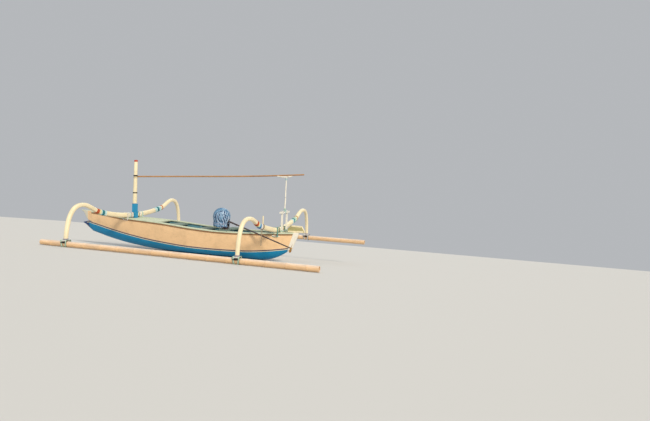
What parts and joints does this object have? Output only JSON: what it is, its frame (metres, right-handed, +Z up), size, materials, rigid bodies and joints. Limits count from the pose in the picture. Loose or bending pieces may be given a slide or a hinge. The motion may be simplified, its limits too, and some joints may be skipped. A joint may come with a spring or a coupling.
{
  "type": "double-outrigger canoe",
  "caption": "Narrow wooden hull with a gaping bow, curved arms to bamboo floats each side, short mast with a stowed spar on an aft crutch, and a wrapped long-tail motor",
  "frame": {"origin": "bottom centre of the bounding box, on the floor that the keel and the port float stand on", "axes": "+X runs forward to the bow, +Y to port, +Z up. The hull is heeled to port about X by 6.7 degrees, as it rests ashore on its keel and one float."},
  "size_m": [5.788, 3.8294, 1.799],
  "materials": {
    "blue_paint": "painted wood, bright blue, brushed, chalky",
    "cream_paint": "painted wood, peach cream, weathered",
    "green_paint": "painted wood, pale grey green, worn",
    "pale_paint": "painted wood, off white, slightly glossy",
    "white_paint": "painted wood, white, chalky",
    "bare_wood": "bare boards, oiled and worn",
    "bamboo": "smooth bamboo, sun bleached",
    "steel": "painted steel, dull dark grey",
    "cast_metal": "cast alloy, dull",
    "bronze": "cast bronze, worn",
    "rope": "laid rope, sun bleached tan",
    "tarp": "woven plastic sheet, blue, creased"
  },
  "bodies": {
    "boat": {"hull_dugout": "blue_paint", "side_plank_port": "cream_paint", "gunwale_port": "green_paint", "side_plank_starboard": "cream_paint", "gunwale_starboard": "green_paint", "stern_post": "white_paint", "stern_tail": "pale_paint", "bow_beak": "cream_paint", "bow_jaw": "blue_paint", "foredeck": "green_paint", "aftdeck": "green_paint", "thwart_aft": "bare_wood", "thwart_middle": "bare_wood", "thwart_fore": "bare_wood", "floor_boards": "bare_wood", "rib_1": "bare_wood", "rib_2": "bare_wood", "rib_3": "bare_wood", "front_boom": "pale_paint", "front_arm_port": "pale_paint", "front_arm_starboard": "pale_paint", "rear_boom": "pale_paint", "rear_arm_port": "pale_paint", "rear_arm_starboard": "pale_paint", "rear_peg": "pale_paint", "hanging_rope": "rope", "float_port": "bamboo", "float_starboard": "bamboo", "mast_box": "blue_paint", "mast": "pale_paint", "crutch_upright_port": "white_paint", "crutch_upright_starboard": "white_paint", "crutch_cap_bar": "white_paint", "crutch_post": "white_paint", "crutch_crescent": "white_paint", "motor_bed": "bare_wood"},
    "spar": {"spar": "bamboo"},
    "motor_swivel": {"motor_yoke": "steel"},
    "motor": {"engine_cradle": "steel", "engine_block": "cast_metal", "engine_cover": "tarp", "shaft_tube": "steel"},
    "propeller": {"propeller": "bronze"}
  },
  "joints": [
    {"name": "spar_lift", "type": "hinge", "parent": "boat", "child": "spar", "pos_m": [1.62, 0.08817, 1.45695], "axis": [0, 0.9931, -0.1171], "range_deg": [0, 40]},
    {"name": "motor_steer", "type": "hinge", "parent": "boat", "child": "motor_swivel", "pos_m": [-0.544, 0.23394, 0.53223], "axis": [0, 0.1171, 0.9931], "range_deg": [-20, 0]},
    {"name": "motor_tilt", "type": "hinge", "parent": "motor_swivel", "child": "motor", "pos_m": [-0.544, 0.24307, 0.60969], "axis": [0.2022, 0.9726, -0.1146], "range_deg": [-3, 5]},
    {"name": "propeller_spin", "type": "hinge", "parent": "motor", "child": "propeller", "pos_m": [-1.9562, 0.49938, 0.29299], "axis": [-0.947, 0.1644, -0.2759], "continuous": true}
  ]
}
